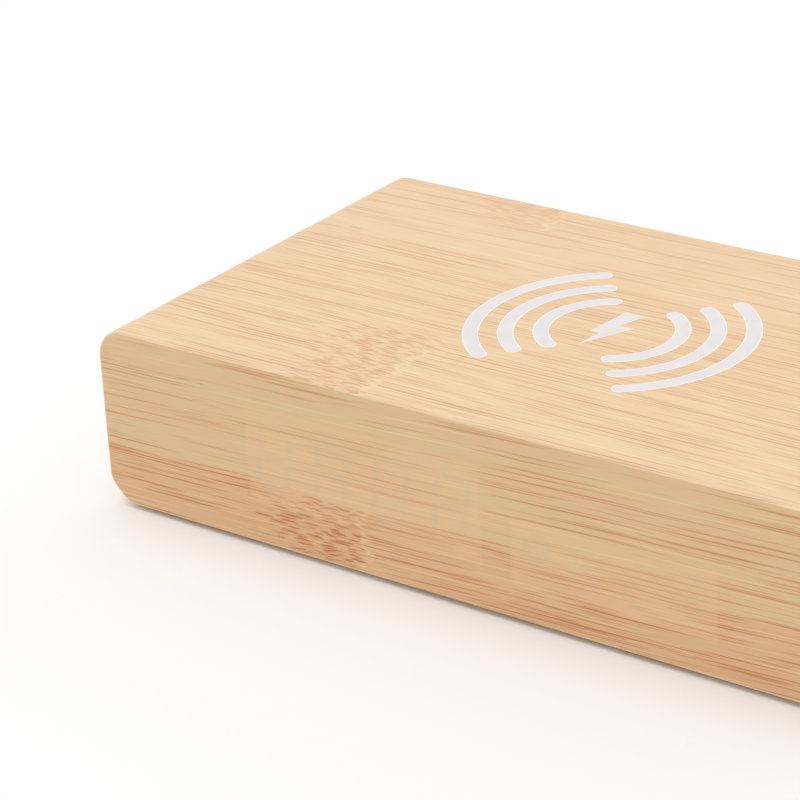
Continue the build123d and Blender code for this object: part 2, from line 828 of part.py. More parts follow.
# ------------------------------------------------------------------ wiring inside the case
coil_outer_radius = coil_inner_radius + (coil_turns - 1) * coil_pitch + coil_wire_radius
coil_drop_x = 33.0
coil_lead_radius = 0.55
coil_entry_z = charger_board_top + 1.7
coil_lead_bend = 4.6
with BuildPart() as coil_leads:
    for y in (-1.5, 1.5):
        with BuildLine() as route:
            FilletPolyline(
                (coil_outer_radius + 0.15, y, coil_middle_z),
                (coil_drop_x, y, coil_middle_z),
                (coil_drop_x, y, coil_entry_z),
                (22.5, y, coil_entry_z),
                radius=coil_lead_bend,
            )
        with BuildSketch(Plane(origin=route.line @ 0, z_dir=route.line % 0)):
            Circle(coil_lead_radius)
        sweep(path=route.line)
save(coil_leads, "coil_leads")

power_route = [(30.3, 16.0), (24.5, 16.0), (20.2, 12.2), (14.5, 12.2)]
power_lead_radius = 0.65
for name, x in (("power_lead_positive", power_x - 1.25), ("power_lead_negative", power_x + 1.25)):
    with BuildPart() as power_lead:
        with BuildLine() as route:
            FilletPolyline(*[(x, y, z) for y, z in power_route], radius=6.5)
        with BuildSketch(Plane(origin=route.line @ 0, z_dir=route.line % 0)):
            Circle(power_lead_radius)
        sweep(path=route.line)
    save(power_lead, name)

ribbon_route = [(-30.1, 19.0), (-21.0, 19.0), (-9.0, 10.2), (9.0, 10.2), (19.0, 12.0), (30.4, 12.0)]
ribbon_size = (9.0, 0.6)
with BuildPart() as display_ribbon:
    with BuildLine() as route:
        FilletPolyline(*[(ribbon_x, y, z) for y, z in ribbon_route], radius=11.0)
    with BuildSketch(Plane(origin=route.line @ 0, x_dir=(1, 0, 0), z_dir=route.line % 0)):
        Rectangle(ribbon_size[0], ribbon_size[1])
    sweep(path=route.line)
save(display_ribbon, "display_ribbon")
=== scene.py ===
"""The looks of a wood-effect clock block with a wireless charger on top.

Lengths are in metres, except where a name or a comment says millimetres.
"""

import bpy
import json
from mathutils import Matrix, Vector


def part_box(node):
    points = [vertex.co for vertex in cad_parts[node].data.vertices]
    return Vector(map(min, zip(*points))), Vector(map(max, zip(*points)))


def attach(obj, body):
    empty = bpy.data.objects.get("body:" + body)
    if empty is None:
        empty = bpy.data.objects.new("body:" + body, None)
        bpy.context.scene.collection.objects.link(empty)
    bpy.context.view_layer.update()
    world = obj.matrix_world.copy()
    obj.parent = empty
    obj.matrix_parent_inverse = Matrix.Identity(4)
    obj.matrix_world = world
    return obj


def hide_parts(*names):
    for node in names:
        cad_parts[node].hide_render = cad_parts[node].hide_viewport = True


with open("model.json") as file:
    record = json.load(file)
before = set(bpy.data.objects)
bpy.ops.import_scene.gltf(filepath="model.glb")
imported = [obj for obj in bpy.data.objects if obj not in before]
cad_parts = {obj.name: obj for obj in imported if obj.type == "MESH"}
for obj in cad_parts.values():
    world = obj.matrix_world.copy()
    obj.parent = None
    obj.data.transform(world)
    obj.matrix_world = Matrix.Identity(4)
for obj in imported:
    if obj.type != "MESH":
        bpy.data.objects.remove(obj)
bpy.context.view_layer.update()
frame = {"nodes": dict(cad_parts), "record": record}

import json
from math import cos, hypot, pi, radians, sin, sqrt, tan

import bpy
from mathutils import Matrix, Vector
from mathutils.geometry import delaunay_2d_cdt

MM = 0.001
collection = bpy.context.scene.collection

# ------------------------------------------------------------------ the case, from the frame
case_low, case_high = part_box("wrap_foil")
front_low, front_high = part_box("front_foil")
back_low, back_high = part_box("back_foil")
panel_low, panel_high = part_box("control_panel")
mark_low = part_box("charging_mark")[0]
time_low, time_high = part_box("time_display")
info_low, info_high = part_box("info_display")

half_length = case_high.x
half_depth = case_high.y
case_top = case_high.z
case_middle = (case_low.z + case_high.z) / 2
half_height = (case_high.z - case_low.z) / 2
corner_radius = 6.0 * MM
foot_chamfer = 4.0 * MM
foot_blend = 4.0 * MM
edge_radius = half_length - front_high.x
foil = front_high.y - front_low.y


# ------------------------------------------------------------------ shader expressions
def linear(red, green, blue):
    """A colour given as 0 to 255 display values, as the linear values that shaders take."""
    values = [c / 255 for c in (red, green, blue)]
    return tuple(c / 12.92 if c <= 0.04045 else ((c + 0.055) / 1.055) ** 2.4 for c in values) + (1.0,)


def under_light(light, red, green, blue):
    """The surface colour that shows as these display values on a side that gets this share of the light."""
    return tuple(min(c / light, 1.0) for c in linear(red, green, blue)[:3]) + (1.0,)


class Value:
    """A number at each point of a surface, written with ordinary arithmetic."""

    def __init__(self, graph, socket):
        self.graph = graph
        self.socket = socket

    def op(self, operation, *others, clamp=False):
        return self.graph.math(operation, self, *others, clamp=clamp)

    def __add__(self, other):
        return self.op("ADD", other)

    def __sub__(self, other):
        return self.op("SUBTRACT", other)

    def __mul__(self, other):
        return self.op("MULTIPLY", other)

    def __truediv__(self, other):
        return self.op("DIVIDE", other)

    def __rsub__(self, other):
        return self.graph.math("SUBTRACT", other, self)

    def floor(self):
        return self.op("FLOOR")

    def fraction(self):
        return self.op("FRACT")

    def size(self):
        return self.op("ABSOLUTE")

    def either(self, other):
        return self.op("MAXIMUM", other)

    def clamped(self):
        return self.op("ADD", 0.0, clamp=True)

    def rise(self, low, high, bottom=0.0, top=1.0):
        """Smoothly from bottom, where this is low, to top, where it is high."""
        node = self.graph.node("ShaderNodeMapRange", interpolation_type="SMOOTHSTEP")
        for name, value in (("Value", self), ("From Min", low), ("From Max", high)):
            self.graph.feed(node.inputs[name], value)
        node.inputs["To Min"].default_value = bottom
        node.inputs["To Max"].default_value = top
        return Value(self.graph, node.outputs["Result"])


class Graph:
    """The nodes of one material."""

    def __init__(self, name):
        self.material = bpy.data.materials.new(name)
        self.material.use_nodes = True
        self.tree = self.material.node_tree
        self.tree.nodes.clear()
        self.shader = self.node("ShaderNodeBsdfPrincipled")
        output = self.node("ShaderNodeOutputMaterial")
        self.tree.links.new(self.shader.outputs["BSDF"], output.inputs["Surface"])

    def node(self, kind, **settings):
        node = self.tree.nodes.new(kind)
        for name, value in settings.items():
            setattr(node, name, value)
        return node

    def feed(self, socket, value):
        if isinstance(value, Value):
            self.tree.links.new(value.socket, socket)
        elif hasattr(value, "is_output"):
            self.tree.links.new(value, socket)
        else:
            socket.default_value = value

    def math(self, operation, *values, clamp=False):
        node = self.node("ShaderNodeMath", operation=operation, use_clamp=clamp)
        for socket, value in zip(node.inputs, values):
            self.feed(socket, value)
        return Value(self, node.outputs[0])

    def split(self, vector):
        node = self.node("ShaderNodeSeparateXYZ")
        self.tree.links.new(vector, node.inputs[0])
        return [Value(self, socket) for socket in node.outputs]

    def join(self, x, y, z):
        node = self.node("ShaderNodeCombineXYZ")
        for socket, value in zip(node.inputs, (x, y, z)):
            self.feed(socket, value)
        return node.outputs[0]

    def attribute(self, name):
        return self.node("ShaderNodeAttribute", attribute_name=name)

    def place_mm(self):
        """The point's place at rest in the row frame, in mm. A texture on it moves with its piece."""
        node = self.node("ShaderNodeTexCoord")
        return [value * 1000.0 for value in self.split(node.outputs["Object"])]

    def noise(self, x, y, z, detail=2.0, roughness=0.5):
        node = self.node("ShaderNodeTexNoise")
        self.tree.links.new(self.join(x, y, z), node.inputs["Vector"])
        node.inputs["Scale"].default_value = 1.0
        node.inputs["Detail"].default_value = detail
        node.inputs["Roughness"].default_value = roughness
        return Value(self, node.outputs[0])

    def chance(self, x, y, z):
        """Three random numbers for each whole-number place."""
        node = self.node("ShaderNodeTexWhiteNoise", noise_dimensions="3D")
        self.tree.links.new(self.join(x, y, z), node.inputs["Vector"])
        return self.split(node.outputs["Color"])

    def blend(self, amount, first, second):
        node = self.node("ShaderNodeMix", data_type="RGBA")
        self.feed(node.inputs["Factor"], amount)
        self.feed(node.inputs[6], first)
        self.feed(node.inputs[7], second)
        return node.outputs[2]

    def bump(self, height, distance, strength=1.0):
        node = self.node("ShaderNodeBump")
        node.inputs["Strength"].default_value = strength
        node.inputs["Distance"].default_value = distance
        self.feed(node.inputs["Height"], height)
        self.tree.links.new(node.outputs["Normal"], self.shader.inputs["Normal"])

    def finish(self, colour, roughness, metallic=0.0, **constants):
        self.feed(self.shader.inputs["Base Color"], colour)
        self.feed(self.shader.inputs["Roughness"], roughness)
        self.shader.inputs["Metallic"].default_value = metallic
        for name, value in constants.items():
            self.shader.inputs[name.replace("_", " ")].default_value = value
        return self.material


# ------------------------------------------------------------------ bamboo-effect skin
def streaks(graph, along, across, seed, pitch, cell, width, density, soft=0.1):
    """Thin pointed lines along the grain: one lane every pitch, at most one line in each cell of a lane."""
    lane = across / pitch + seed * 7.3
    row = lane.floor()
    shift = graph.chance(row, seed, 0.5)[0]
    step = along / cell + shift * 9.0
    column = step.floor()
    pick, place, size = graph.chance(row, column, seed + 0.5)
    off_line = (lane.fraction() - 0.5 + (place - 0.5) * 0.6).size() * pitch
    towards_end = (step.fraction() - 0.5).size() / (size * 0.30 + 0.18)
    half_width = (1.0 - towards_end * towards_end) * (size * 0.5 + 0.5) * (width / 2)
    body = ((half_width - off_line) / soft + 0.5).clamped() * (half_width / (width / 8)).clamped()
    return body * ((pick - 1.0 + density) * 4.0).clamped()


def strip_mask(across, low, high, soft=0.35):
    """1 inside one strip of the print, with a soft edge."""
    return across.rise(low - soft, low + soft) * across.rise(high + soft, high - soft)


# strips of the printed bamboo, from one edge to the other:
# (low mm, high mm, warmth, how many lines, how dark they are, node at mm, how strong it is)
TOP_STRIPS = [
    (-60.0, -18.5, 0.0, 0.85, 0.80, -30.0, 0.8),
    (-18.5, 17.0, 0.35, 1.15, 0.60, None, 0.0),
    (17.0, 34.2, 0.10, 0.55, 0.55, None, 0.0),
    (34.2, 60.0, 0.65, 0.60, 0.60, -44.0, 0.6),
]
FRONT_STRIPS = [
    (-20.0, 13.9, 0.85, 1.0, 1.0, -30.0, 1.0),
    (13.9, 50.0, 0.0, 0.58, 0.70, None, 0.0),
]
BACK_STRIPS = [
    (-20.0, 9.0, 0.10, 0.55, 0.85, 52.0, 0.9),
    (9.0, 27.0, 0.75, 0.90, 1.0, None, 0.0),
    (27.0, 50.0, 0.05, 0.50, 0.74, -58.0, 0.9),
]
NODE_REPEAT_MM = 190.0
# how far apart the lanes of each kind of mark are, and how long its cells are, in millimetres
LONG_LINES = (1.15, 44.0)
MIDDLING_LINES = (0.80, 27.0)
SHORT_LINES = (0.55, 13.0)
# painted highlights: lanes and cells of the thin pale lines that stand in for glints along the embossed lines
PAINTED_HIGHLIGHT_LINES = (0.85, 34.0)
BANDS = (3.4, 46.0)
NODE_DASHES = (0.62, 5.6)
NODE_TICKS = (0.45, 3.4)
SPECKS = (6.0, 9.0)
# the tones of the print on each side, as display values
TOP_TONES = {
    "base": (242, 213, 171),
    "warm": (240, 206, 164),
    "pink": (242, 207, 167),
    # bright: the pale tone of the node ridge, and also of the painted highlight lines
    "bright": (255, 233, 192),
    "blush": (236, 190, 149),
    "node": (238, 182, 145),
    "line": (200, 150, 106),
}
SIDE_TONES = {
    "base": (213, 185, 141),
    "warm": (211, 170, 128),
    "pink": (217, 180, 141),
    # bright: the pale tone of the node ridge, and also of the painted highlight lines
    "bright": (231, 199, 155),
    "blush": (214, 160, 117),
    "node": (206, 148, 106),
    "line": (180, 112, 68),
}
TOP_LIGHT = 1.06
SIDE_LIGHT = 0.91


def bamboo(name, strips, lean, seed, tones, light, displays=False):
    """Satin printed film: pale strips with fine reddish lines and, here and there, a bamboo node."""
    graph = Graph(name)
    tone = {key: under_light(light, *value) for key, value in tones.items()}
    along, raw_across, _ = graph.split(graph.attribute("grain_mm").outputs["Vector"])
    sway = graph.noise(along / 45.0, raw_across / 14.0, seed, detail=1.0)
    quiver = graph.noise(along / 7.0, raw_across / 1.6, seed + 3.0, detail=1.0)
    across = raw_across - along * lean + sway * 1.5 + quiver * 0.10

    nothing = graph.math("ADD", 0.0, 0.0)
    warmth, density, darkness, knot, strength, ridge = [nothing] * 6
    for low, high, warm_share, dense, dark, node_at, strong in strips:
        inside = strip_mask(raw_across - along * lean * 0.3 + sway * 0.5, low, high)
        warmth = warmth + inside * warm_share
        density = density + inside * dense
        darkness = darkness + inside * dark
        if node_at is not None:
            # a node fades in slowly on one side and stops short at a pale ridge on the other
            wander = graph.noise(raw_across / 3.0, seed, 4.0, detail=2.0) * 8.0 - 4.0
            near = ((along - node_at + wander) / NODE_REPEAT_MM + 0.5).fraction() - 0.5
            distance = near * NODE_REPEAT_MM
            knot = knot + distance.rise(-24.0 * strong, -3.0) * distance.rise(9.0, 5.0) * inside
            ridge = ridge + (distance - 6.5).size().rise(1.2, 0.2) * inside * strong
            strength = strength + inside * strong

    # slow drifts of tone, long soft bands and thin painted highlight lines
    drift = graph.noise(along / 60.0, across / 3.0, seed + 5.0, detail=2.0)
    fine = graph.noise(along / 6.0, across / 0.22, seed + 7.0, detail=2.0)
    clumps = graph.noise(along / 50.0, across / 4.0, seed + 8.0, detail=1.0).rise(0.3, 0.7, 0.4, 1.4)
    busy = density * clumps * (1.0 - knot * 0.8)
    bands = streaks(graph, along, across, seed + 90.0, *BANDS, 2.2, warmth * 1.2 + 0.15, soft=1.0)
    # painted highlights: thin pale lines that stand in for the glints along the embossed lines of the print
    painted_highlight_lines = streaks(graph, along, across, seed + 70.0, *PAINTED_HIGHLIGHT_LINES, 0.26, density, soft=0.12)

    # the lines: long, middling and short ones, and wavy dashes at a node
    long_lines = streaks(graph, along, across, seed, *LONG_LINES, 0.30, busy)
    mid_lines = streaks(graph, along, across, seed + 20.0, *MIDDLING_LINES, 0.25, busy * 0.9)
    short_lines = streaks(graph, along, across, seed + 40.0, *SHORT_LINES, 0.20, busy * 0.8)
    ripple = graph.noise(along / 3.4, across / 2.4, seed + 9.0, detail=1.0) - 0.5
    wavy = across + ripple * knot * 1.3
    dashes = streaks(graph, along, wavy, seed + 60.0, *NODE_DASHES, 0.34, knot * 1.05)
    ticks = streaks(graph, along, wavy, seed + 65.0, *NODE_TICKS, 0.22, knot * 0.75)
    dashes = (dashes * 0.9).either(ticks * 0.7) * strength
    lines = (long_lines * 0.9).either(mid_lines * 0.75).either(short_lines * 0.55).either(dashes) * darkness
    halo = streaks(graph, along, across, seed, *LONG_LINES, 0.95, busy, soft=0.5)
    blots = streaks(graph, along, wavy, seed + 60.0, *NODE_DASHES, 1.00, knot * 1.05, soft=0.5) * strength
    specks = streaks(graph, along, raw_across, seed + 80.0, *SPECKS, 0.34, 0.16) * fine.rise(0.52, 0.62)

    colour = graph.blend(warmth.clamped(), tone["base"], tone["warm"])
    colour = graph.blend(drift.rise(0.35, 0.65) * 0.7, colour, tone["pink"])
    colour = graph.blend(fine.rise(0.45, 0.7) * 0.16, colour, tone["blush"])
    colour = graph.blend(bands * 0.38, colour, tone["blush"])
    # painted highlights: the thin pale lines blended towards the bright tone
    colour = graph.blend(painted_highlight_lines * 0.6, colour, tone["bright"])
    colour = graph.blend(halo * 0.34, colour, tone["blush"])
    colour = graph.blend((knot * strength * 0.18 + blots * 0.45).clamped(), colour, tone["node"])
    colour = graph.blend(ridge.clamped() * 0.4, colour, tone["bright"])
    colour = graph.blend(lines.clamped(), colour, tone["line"])
    colour = graph.blend(specks.clamped() * 0.7, colour, linear(122, 78, 50))
    if displays:
        module, segment, _ = graph.split(graph.attribute("ghost").outputs["Vector"])
        colour = graph.blend(module * 0.32, colour, under_light(light, 226, 188, 144))
        colour = graph.blend(segment * 0.11, colour, under_light(light, 176, 178, 160))
    graph.bump(fine * 0.5 - lines * 0.6, 0.02 * MM, strength=0.5)
    return graph.finish(
        colour, fine.rise(0.2, 0.8, 0.42, 0.52), Specular_IOR_Level=0.35, Coat_Weight=0.05, Coat_Roughness=0.3
    )


# ------------------------------------------------------------------ plain slots
def grainy(name, colour, spread, scale_mm, roughness, bump_mm=0.0, metallic=0.0, stretch=(1, 1, 1)):
    """A slot whose colour, gloss and relief vary with a noise of this size."""
    graph = Graph(name)
    fine_mm = scale_mm * 0.22
    place = graph.place_mm()
    coarse = graph.noise(*[value / scale_mm * factor for value, factor in zip(place, stretch)], detail=3.0)
    fine = graph.noise(*[value / fine_mm * factor for value, factor in zip(place, stretch)], detail=2.0)
    darker = tuple(c * (1 - spread) for c in colour[:3]) + (1.0,)
    lighter = tuple(min(c * (1 + spread), 1.0) for c in colour[:3]) + (1.0,)
    shade = graph.blend((coarse * 0.6 + fine * 0.4).rise(0.3, 0.7), darker, lighter)
    if bump_mm:
        graph.bump(fine, bump_mm * MM)
    return graph.finish(shade, coarse.rise(0.2, 0.8, roughness * 0.88, roughness * 1.12), metallic)


def fibreboard():
    """Raw pressed fibre: warm brown with short pale and dark flecks."""
    graph = Graph("fibreboard")
    x, y, z = graph.place_mm()
    fibres = graph.noise(x / 0.5, y / 0.5, z / 0.18, detail=4.0, roughness=0.7)
    patches = graph.noise(x / 9.0, y / 9.0, z / 9.0, detail=2.0)
    colour = graph.blend(fibres.rise(0.3, 0.7), linear(150, 112, 78), linear(196, 158, 118))
    colour = graph.blend(patches.rise(0.4, 0.7) * 0.25, colour, linear(140, 104, 72))
    graph.bump(fibres, 0.06 * MM)
    return graph.finish(colour, 0.85, Specular_IOR_Level=0.2)


def circuit_board(name, mask, trace):
    """Solder mask with the faint relief and lighter tone of tracks under it."""
    graph = Graph(name)
    x, y, z = graph.place_mm()
    lanes = (x + graph.noise(x / 9.0, y / 9.0, z / 9.0).floor() * 2.0) / 1.27
    across = (lanes.fraction() - 0.5).size().rise(0.22, 0.16)
    pick = graph.chance(lanes.floor(), (z / 6.0).floor(), (y / 6.0).floor())[0]
    tracks = across * pick.rise(0.45, 0.5)
    colour = graph.blend(tracks * 0.8, mask, trace)
    graph.bump(tracks, 0.03 * MM)
    return graph.finish(colour, 0.32, Coat_Weight=0.3, Coat_Roughness=0.15)


def winding():
    """Enamelled copper strands, twisted along each turn."""
    graph = Graph("copper")
    x, y, z = graph.place_mm()
    angle = graph.math("ARCTAN2", y, x)
    reach = (x * x + y * y).op("SQRT")
    twist = (angle * reach / 1.6 + reach * 2.0).fraction().rise(0.0, 0.5)
    sheen = graph.noise(x / 3.0, y / 3.0, z / 3.0)
    colour = graph.blend(twist, linear(150, 76, 40), linear(214, 126, 74))
    colour = graph.blend(sheen * 0.3, colour, linear(170, 92, 52))
    graph.bump(twist, 0.05 * MM)
    return graph.finish(colour, 0.35, 0.9)


def moulded_black(name, tone, roughness, bump_mm, sign_at=None):
    """Black moulding with a spark-eroded texture and slight fading.

    sign_at is the middle of a face, in millimetres, whose sunk sign is filled in white.
    """
    graph = Graph(name)
    x, y, z = graph.place_mm()
    pits = graph.noise(x / 0.35, y / 0.35, z / 0.35, detail=3.0, roughness=0.6)
    haze = graph.noise(x / 14.0, y / 14.0, z / 14.0, detail=3.0)
    colour = graph.blend(haze.rise(0.3, 0.7), linear(*tone), linear(*[c + 7 for c in tone]))
    colour = graph.blend(pits.rise(0.5, 0.75) * 0.25, colour, linear(*[c + 22 for c in tone]))
    if sign_at:
        aside = x - sign_at[0]
        above = z - sign_at[2]
        reach = (aside * aside + above * above).op("SQRT")
        filled = (y - sign_at[1]).rise(-0.09, -0.12) * reach.rise(1.7, 1.5)
        colour = graph.blend(filled, colour, linear(226, 226, 222))
    graph.bump(pits, bump_mm * MM)
    return graph.finish(colour, haze.rise(0.2, 0.8, roughness, roughness + 0.1), Specular_IOR_Level=0.45)


def printed_white():
    """Screen-printed white: a thin grey edge of painted shadow, a bright rim and a very slightly greyer
    field.
    """
    graph = Graph("white_ink")
    field, _, _ = graph.split(graph.attribute("inward").outputs["Vector"])
    x, y, z = graph.place_mm()
    mesh_dots = graph.noise(x / 0.25, y / 0.25, z / 0.25, detail=2.0)
    cloud = graph.noise(x / 6.0, y / 6.0, 0.0, detail=2.0)
    inner = graph.blend(cloud.rise(0.3, 0.7), linear(233, 227, 227), linear(228, 222, 223))
    # painted shadow: the ink's outer edge is grey-violet, rising to the bright rim
    rim = graph.blend(field.rise(0.0, 0.3), linear(208, 190, 186), linear(250, 247, 244))
    colour = graph.blend(field.rise(0.45, 1.0), rim, inner)
    colour = graph.blend(mesh_dots.rise(0.55, 0.8) * 0.12, colour, linear(222, 214, 208))
    graph.bump(mesh_dots, 0.01 * MM, strength=0.4)
    return graph.finish(colour, 0.42, Specular_IOR_Level=0.4)


SLOT_MATERIALS = {
    "fibreboard": fibreboard(),
    "black_plastic": moulded_black("black_plastic", (26, 26, 28), 0.44, 0.05),
    "rubber": moulded_black("rubber", (22, 22, 22), 0.78, 0.05),
    "display_resin": moulded_black("display_resin", (30, 30, 33), 0.5, 0.02),
    "chip_black": moulded_black("chip_black", (28, 28, 30), 0.55, 0.02),
    "lead_black": moulded_black("lead_black", (24, 24, 24), 0.5, 0.01),
    "segment_resin": grainy("segment_resin", (0.80, 0.80, 0.76, 1), 0.05, 2.0, 0.3, 0.01),
    "circuit_board": circuit_board("circuit_board", linear(20, 84, 46), linear(42, 122, 70)),
    "charger_circuit_board": circuit_board("charger_board", linear(18, 48, 100), linear(36, 84, 150)),
    "connector_white": grainy("connector_white", (0.72, 0.70, 0.62, 1), 0.06, 3.0, 0.45, 0.02),
    "steel": grainy("steel", (0.62, 0.62, 0.61, 1), 0.07, 0.9, 0.28, 0.005, 1.0, (0.12, 3, 3)),
    "black_steel": grainy("black_steel", (0.10, 0.10, 0.105, 1), 0.2, 0.8, 0.30, 0.01, 1.0),
    "brass": grainy("brass", (0.75, 0.55, 0.24, 1), 0.12, 1.0, 0.28, 0.01, 1.0),
    "copper": winding(),
    "ferrite": grainy("ferrite", (0.035, 0.035, 0.04, 1), 0.3, 1.4, 0.55, 0.04),
    "tray_plastic": grainy("tray_plastic", (0.70, 0.70, 0.66, 1), 0.04, 4.0, 0.5, 0.02),
    "capacitor_body": grainy("capacitor_body", (0.42, 0.28, 0.15, 1), 0.15, 1.5, 0.4, 0.02),
    "ribbon_grey": grainy("ribbon_grey", (0.45, 0.46, 0.50, 1), 0.1, 0.7, 0.42, 0.03, 0.0, (3, 0.1, 0.1)),
    "lead_red": grainy("lead_red", (0.42, 0.012, 0.01, 1), 0.15, 1.0, 0.42, 0.01),
}
top_wood = bamboo("wood_foil_top", TOP_STRIPS, 0.010, 2.0, TOP_TONES, TOP_LIGHT)
front_wood = bamboo("wood_foil_front", FRONT_STRIPS, 0.034, 11.0, SIDE_TONES, SIDE_LIGHT, displays=True)
back_wood = bamboo("wood_foil_back", BACK_STRIPS, -0.015, 23.0, SIDE_TONES, SIDE_LIGHT)


# ------------------------------------------------------------------ building pieces
def make_piece(name, points, faces, material, attributes=None, smooth=True):
    """A mesh object. attributes gives, for each name, a vector for each corner of each face."""
    mesh = bpy.data.meshes.new(name)
    mesh.from_pydata(points, [], faces)
    for key, values in (attributes or {}).items():
        layer = mesh.attributes.new(key, "FLOAT_VECTOR", "CORNER")
        flat = [component for face in values for corner in face for component in corner]
        layer.data.foreach_set("vector", flat)
    mesh.materials.append(material)
    mesh.update()
    if smooth:
        mesh.shade_smooth()
        mesh.set_sharp_from_angle(angle=radians(35))
    piece = bpy.data.objects.new(name, mesh)
    collection.objects.link(piece)
    return piece


def rounded_outline(half_x, half_z, radius, corner_steps=14):
    """Points round a rounded rectangle about (0, 0), from the middle of its foot towards -X."""
    points = [(0.0, -half_z)]
    corners = [(-1, -1, 270), (-1, 1, 180), (1, 1, 90), (1, -1, 0)]
    for side_x, side_z, start in corners:
        centre = (side_x * (half_x - radius), side_z * (half_z - radius))
        for step in range(corner_steps + 1):
            angle = radians(start - 90 * step / corner_steps)
            points.append((centre[0] + radius * cos(angle), centre[1] + radius * sin(angle)))
    return points


def case_outline(inset, steps=12):
    """The case's section drawn in by this much, from the middle of its foot towards -X."""
    half_x = half_length - inset
    half_z = half_height - inset
    blend = foot_blend - inset
    upper = corner_radius - inset
    # where the cut's rounded ends have their centres, measured from the corner
    reach = foot_chamfer - inset * (2 - sqrt(2)) + blend * tan(pi / 8)
    arcs = [
        (reach - half_x, blend - half_z, blend, 270, 225),
        (blend - half_x, reach - half_z, blend, 225, 180),
        (upper - half_x, half_z - upper, upper, 180, 90),
        (half_x - upper, half_z - upper, upper, 90, 0),
        (half_x - blend, reach - half_z, blend, 0, -45),
        (half_x - reach, blend - half_z, blend, -45, -90),
    ]
    points = [(0.0, -half_z)]
    for x, z, radius, start, end in arcs:
        for step in range(steps + 1):
            angle = radians(start + (end - start) * step / steps)
            points.append((x + radius * cos(angle), z + radius * sin(angle)))
    return points


def wrap_skin():
    """The film over the top, ends and foot, turned in round the front and back faces."""
    arc_steps = 7
    outer = []
    inner = []
    for step in range(arc_steps + 1):
        angle = radians(90 * step / arc_steps)
        for profile, radius in ((outer, edge_radius), (inner, edge_radius - foil)):
            inset = edge_radius - radius * sin(angle)
            profile.append((inset, -half_depth + edge_radius - radius * cos(angle)))
    profile = outer + [(inset, -y) for inset, y in reversed(outer)]
    profile += [(inset, -y) for inset, y in inner] + list(reversed(inner))
    # the way along the profile, so that the print runs round the edges without a break
    across = [0.0]
    for (inset_a, y_a), (inset_b, y_b) in zip(profile, profile[1:]):
        across.append(across[-1] + hypot(inset_b - inset_a, y_b - y_a))
    middle = across[len(outer) * 2 - 1] / 2
    across = [a - middle for a in across]
    outline = case_outline(0.0)
    along = [0.0]
    for (x_a, z_a), (x_b, z_b) in zip(outline, outline[1:] + outline[:1]):
        along.append(along[-1] + hypot(x_b - x_a, z_b - z_a))
    along = [a - along[-1] / 2 for a in along]
    count, rings = len(outline), len(profile)
    points = []
    for inset, y in profile:
        for x, z in case_outline(inset):
            points.append((x, y, case_middle + z))
    faces = []
    grain = []
    for ring in range(rings):
        following = (ring + 1) % rings
        here = ring * count
        there = following * count
        across_b = across[ring + 1] if following else across[ring] + foil
        for index in range(count):
            ahead = (index + 1) % count
            faces.append((here + ahead, there + ahead, there + index, here + index))
            ends = ((along[index + 1], across[ring]), (along[index + 1], across_b))
            ends += ((along[index], across_b), (along[index], across[ring]))
            grain.append([(a / MM, b / MM, 0.0) for a, b in ends])
    return make_piece("wood_wrap", points, faces, top_wood, {"grain_mm": grain})


def bar_outline(centre, turn, length, stroke, grow):
    """A seven-bar digit's bar with pointed ends, grown by so much all round."""
    tip = length / 2 - 0.2 * MM + grow
    half = stroke / 2 + grow
    shoulder = tip - half
    upper = [(-tip, 0), (-shoulder, half), (shoulder, half)]
    corners = upper + [(-x, -y) for x, y in upper]
    c, s = cos(turn), sin(turn)
    return [(centre[0] + x * c - y * s, centre[1] + x * s + y * c) for x, y in corners]


def digit_bars(centre, pitch, width, height, stroke):
    """Centre, turn and length of each bar of four leaning digits."""
    lean = radians(8.0)
    half_width = (width - stroke) / 2
    quarter = (height - stroke) / 4
    bars = []
    for index in range(4):
        middle = centre[0] + (index - 1.5) * pitch
        for z in (-2 * quarter, 0, 2 * quarter):
            bars.append(((middle + z * tan(lean), centre[1] + z), 0.0, 2 * half_width))
        for x in (-half_width, half_width):
            for z in (-quarter, quarter):
                place = (middle + x + z * tan(lean), centre[1] + z)
                bars.append((place, pi / 2 - lean, 2 * quarter / cos(lean)))
    return bars


def face_skin(name, y_out, y_in, holes, loops, material):
    """A flat skin of the front or back face.

    holes are outlines that are cut out of it, and loops are (outline, ghost value) drawn on it.
    """
    # the triangulation wants its outlines counter-clockwise
    rim = [(x, case_middle + z) for x, z in reversed(case_outline(edge_radius))]
    drawn = [(rim, (0.0, 0.0))] + [(hole, (0.0, 0.0)) for hole in holes] + loops
    flat = []
    polygons = []
    values = []
    for outline, value in drawn:
        polygons.append(list(range(len(flat), len(flat) + len(outline))))
        flat += [Vector(point) for point in outline]
        values += [value] * len(outline)
    points, _, triangles, origins, _, inside = delaunay_2d_cdt(flat, [], polygons, 1, 1e-7)
    hole_ids = set(range(1, 1 + len(holes)))
    kept = [face for face, ids in zip(triangles, inside) if not hole_ids & set(ids)]
    ghost = [values[origin[0]] if origin else (0.0, 0.0) for origin in origins]
    count = len(points)
    facing = 1 if y_out < y_in else -1
    vertices = [(x, y_out, z) for x, z in points] + [(x, y_in, z) for x, z in points]
    faces = [tuple(face)[::facing] for face in kept]
    faces += [tuple(count + i for i in face)[:: -facing] for face in kept]
    # close the plate along every edge that only one triangle has
    edges = [edge for face in kept for edge in zip(face, face[1:] + face[:1])]
    edge_set = set(edges)
    for a, b in edges:
        if (b, a) not in edge_set:
            faces.append((a, a + count, b + count, b)[::facing])
    grain = []
    marks = []
    for face in faces:
        grain.append([(vertices[i][0] / MM * facing, vertices[i][2] / MM, 0.0) for i in face])
        marks.append([(*ghost[i % count], 0.0) for i in face])
    return make_piece(name, vertices, faces, material, {"grain_mm": grain, "ghost": marks}, smooth=False)


